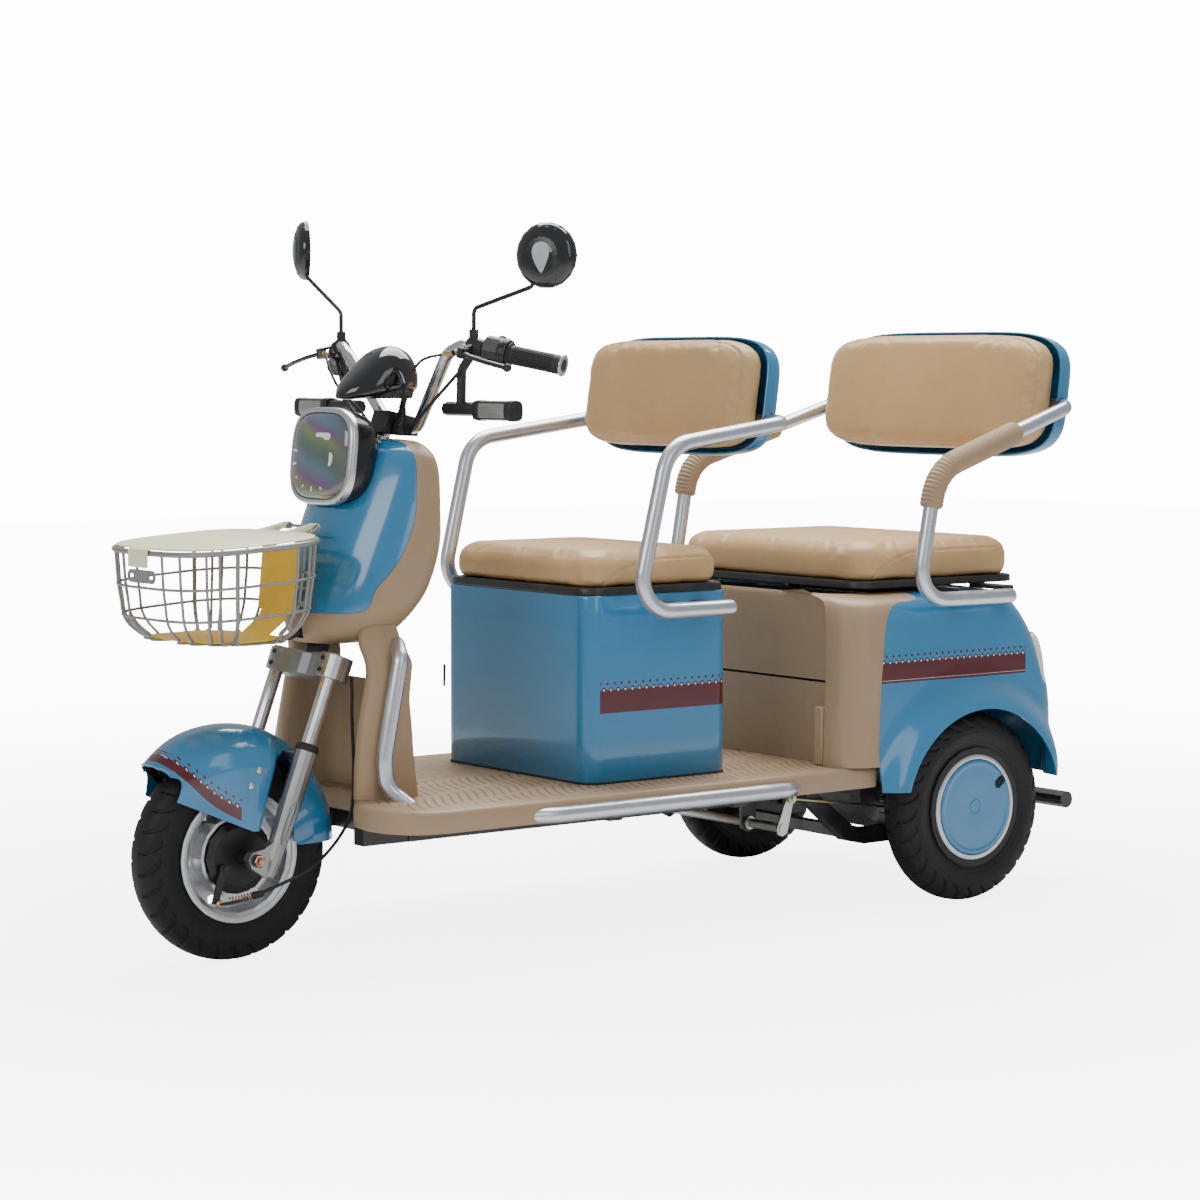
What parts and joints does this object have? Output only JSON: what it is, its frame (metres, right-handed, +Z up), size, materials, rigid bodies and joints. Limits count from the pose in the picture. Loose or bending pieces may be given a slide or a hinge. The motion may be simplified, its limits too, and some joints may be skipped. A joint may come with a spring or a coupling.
{
  "type": "electric tricycle",
  "caption": "Electric passenger tricycle with a front basket, a rider's seat and a rear bench; steers, rolls, has sprung axles, brake levers and lifting seats and basket lid.",
  "frame": {"origin": "on the ground, below the middle of the overall length, on the plane midway between the rear wheels", "axes": "+X to the rider's left, +Y rearwards, +Z up"},
  "size_m": [0.8678, 1.9575, 1.2991],
  "materials": {
    "gloss_blue": "glossy",
    "matt_beige": "satin moulded",
    "tan_leather": "fine grain",
    "black_plastic": "fine texture",
    "gloss_black": "high gloss",
    "black_paint": "satin paint",
    "silver_tube": "satin anodised",
    "cast_grey": "cast",
    "steel": "plain",
    "cream_plastic": "satin",
    "black_rubber": "matt",
    "tyre_rubber": "matt",
    "clear_lens": "clear",
    "lamp_white": "milky",
    "red_plastic": "glossy",
    "zinc_yellow": "yellow zinc",
    "wire_grey": "powder coat",
    "bezel_silver": "bright"
  },
  "bodies": {
    "chassis": {"main_frame": "black_paint", "floorboard": "matt_beige", "leg_shield": "matt_beige", "front_panel": "gloss_blue", "knee_panel": "matt_beige", "headlight_bezel": "bezel_silver", "headlight_housing": "black_plastic", "headlight_lens": "clear_lens", "basket_wire": "wire_grey", "basket_liner": "cream_plastic", "front_seat_box": "gloss_blue", "front_seat_hoop": "silver_tube", "rear_seat_hoop": "silver_tube", "rear_body": "gloss_blue", "rear_inner_panel": "matt_beige", "battery": "black_plastic", "side_rail_left": "silver_tube", "side_rail_right": "silver_tube", "tail_lamp_left": "lamp_white", "tail_lamp_right": "lamp_white", "shock_left": "black_paint", "shock_right": "black_paint", "rear_arm_sleeve_left": "tan_leather", "rear_arm_sleeve_right": "tan_leather", "front_backrest_cushion": "tan_leather", "front_backrest_shell": "gloss_blue", "rear_backrest_cushion": "tan_leather", "rear_backrest_shell": "gloss_blue"},
    "lid": {"basket_lid": "cream_plastic"},
    "front_seat": {"front_seat_base": "black_plastic", "front_seat_cushion": "tan_leather"},
    "rear_seat": {"rear_seat_base": "black_plastic", "rear_seat_cushion": "tan_leather"},
    "steering": {"fork_crown": "cast_grey", "handlebar": "silver_tube", "dash_pod": "gloss_black", "left_grip": "black_rubber", "left_controls": "black_plastic", "right_controls": "black_plastic", "front_brake_cable": "black_rubber"},
    "throttle": {"throttle_grip": "black_rubber"},
    "horn": {"horn_button": "red_plastic"},
    "lever_left": {"brake_lever_left": "black_paint"},
    "lever_right": {"brake_lever_right": "black_paint"},
    "mirror_left_head": {"mirror_left": "black_plastic"},
    "mirror_right_head": {"mirror_right": "black_plastic"},
    "fork_lower": {"fork_leg_left": "cast_grey", "fork_leg_right": "cast_grey", "mudguard": "gloss_blue", "front_brake_plate": "black_paint"},
    "front_wheel": {"front_tyre": "tyre_rubber", "front_rim": "silver_tube"},
    "rear_axle": {"swing_arm": "black_paint", "drive_axle": "steel"},
    "rear_wheel_left": {"rear_tyre_left": "tyre_rubber", "rear_rim_left": "gloss_blue"},
    "rear_wheel_right": {"rear_tyre_right": "tyre_rubber", "rear_rim_right": "gloss_blue"},
    "cross_shaft": {"brake_shaft": "steel"},
    "brake_rod_body": {"brake_rod": "zinc_yellow"}
  },
  "joints": [
    {"name": "steering_turn", "type": "hinge", "parent": "chassis", "child": "steering", "pos_m": [0, -0.52431, 0.76529], "axis": [0, 0.3535, 0.9354], "range_deg": [-38, 38]},
    {"name": "fork_slide", "type": "slide", "parent": "steering", "child": "fork_lower", "axis": [0, 0.3535, 0.9354], "range_m": [-0.01, 0.05], "stiffness_N_per_m": 9000, "springref_m": -0.022, "deforming": ["front_brake_cable"]},
    {"name": "front_wheel_spin", "type": "hinge", "parent": "fork_lower", "child": "front_wheel", "pos_m": [0, -0.79525, 0.1835], "axis": [1, 0, 0], "continuous": true},
    {"name": "rear_suspension", "type": "hinge", "parent": "chassis", "child": "rear_axle", "pos_m": [0, 0.35475, 0.213], "axis": [1, 0, 0], "range_deg": [-2, 6], "stiffness_Nm_per_rad": 2800, "springref_deg": -2.29, "deforming": ["shock_left", "shock_right"]},
    {"name": "rear_wheel_left_spin", "type": "hinge", "parent": "rear_axle", "child": "rear_wheel_left", "pos_m": [0.3235, 0.64775, 0.1835], "axis": [1, 0, 0], "continuous": true},
    {"name": "rear_wheel_right_spin", "type": "hinge", "parent": "rear_axle", "child": "rear_wheel_right", "pos_m": [-0.3235, 0.64775, 0.1835], "axis": [1, 0, 0], "continuous": true},
    {"name": "front_seat_hinge", "type": "hinge", "parent": "chassis", "child": "front_seat", "pos_m": [0, -0.18625, 0.617], "axis": [1, 0, 0], "range_deg": [0, 80]},
    {"name": "rear_seat_hinge", "type": "hinge", "parent": "chassis", "child": "rear_seat", "pos_m": [0, 0.41475, 0.608], "axis": [1, 0, 0], "range_deg": [0, 70]},
    {"name": "basket_lid_hinge", "type": "hinge", "parent": "chassis", "child": "lid", "pos_m": [0, -0.64525, 0.748], "axis": [-1, 0, 0], "range_deg": [0, 95]},
    {"name": "brake_lever_left_hinge", "type": "hinge", "parent": "steering", "child": "lever_left", "pos_m": [0.226, -0.45725, 1.05], "axis": [0.225, 0, 0.9744], "range_deg": [0, 20], "stiffness_Nm_per_rad": 1.2, "springref_deg": -17.19},
    {"name": "brake_lever_right_hinge", "type": "hinge", "parent": "steering", "child": "lever_right", "pos_m": [-0.226, -0.45725, 1.05], "axis": [0.225, 0, -0.9744], "range_deg": [0, 20], "stiffness_Nm_per_rad": 1.2, "springref_deg": -17.19},
    {"name": "throttle_twist", "type": "hinge", "parent": "steering", "child": "throttle", "pos_m": [-0.354, -0.34175, 1.029], "axis": [-0.8514, 0.4899, -0.1874], "range_deg": [0, 70], "stiffness_Nm_per_rad": 0.4, "springref_deg": -22.92},
    {"name": "mirror_left_turn", "type": "hinge", "parent": "steering", "child": "mirror_left_head", "pos_m": [0.21203, -0.42345, 1.07625], "axis": [0, 0, 1], "range_deg": [-30, 30]},
    {"name": "mirror_right_turn", "type": "hinge", "parent": "steering", "child": "mirror_right_head", "pos_m": [-0.21203, -0.42345, 1.07625], "axis": [0, 0, 1], "range_deg": [-30, 30]},
    {"name": "horn_press", "type": "slide", "parent": "steering", "child": "horn", "axis": [0.2142, -0.6508, -0.7284], "range_m": [0, 0.002], "stiffness_N_per_m": 300, "springref_m": -0.003},
    {"name": "brake_shaft_turn", "type": "hinge", "parent": "chassis", "child": "cross_shaft", "pos_m": [0, 0.27975, 0.158], "axis": [1, 0, 0], "range_deg": [0, 14]},
    {"name": "brake_rod_swing", "type": "hinge", "parent": "cross_shaft", "child": "brake_rod_body", "pos_m": [0.22, 0.29875, 0.213], "axis": [1, 0, 0], "range_deg": [-14, 0]}
  ],
  "couplings": [
    {"joint": "brake_shaft_turn", "follows": "brake_lever_left_hinge", "ratio": 0.6},
    {"joint": "brake_rod_swing", "follows": "brake_lever_left_hinge", "ratio": -0.6}
  ]
}
